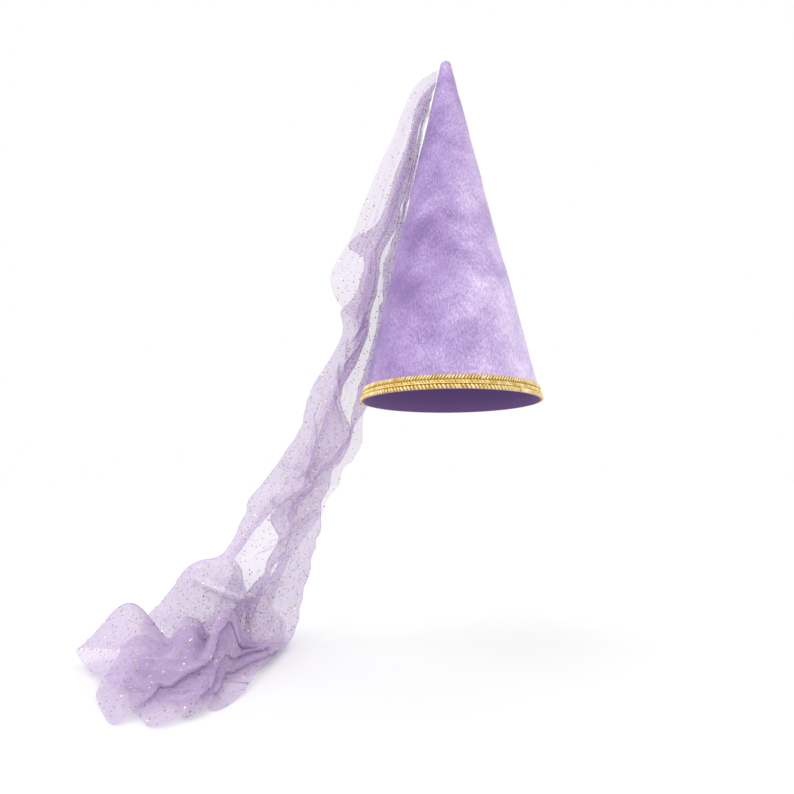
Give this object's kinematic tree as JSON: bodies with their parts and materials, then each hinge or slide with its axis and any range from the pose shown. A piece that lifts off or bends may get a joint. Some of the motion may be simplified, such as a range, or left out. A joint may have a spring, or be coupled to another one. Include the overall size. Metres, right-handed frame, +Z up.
{
  "type": "hennin cone hat",
  "caption": "Tall cone hat of crushed velvet with gold braid at the rim and a long sheer veil gathered at the tip.",
  "frame": {"origin": "middle of the rim's opening, where the hat sits on a head", "axes": "+Z up along the cone to its tip; the veil hangs towards -X; the picture looks along +Y"},
  "size_m": [0.4812, 0.2227, 0.6636],
  "materials": {
    "crushed_velvet": "lilac crushed velvet",
    "gold_braid": "metallic gold gimp",
    "glitter_organza": "sheer lilac organza with glitter dots"
  },
  "bodies": {
    "root": {"cone_crown": "crushed_velvet", "braid_band": "gold_braid", "braid_cord": "gold_braid", "veil": "glitter_organza"}
  },
  "joints": []
}
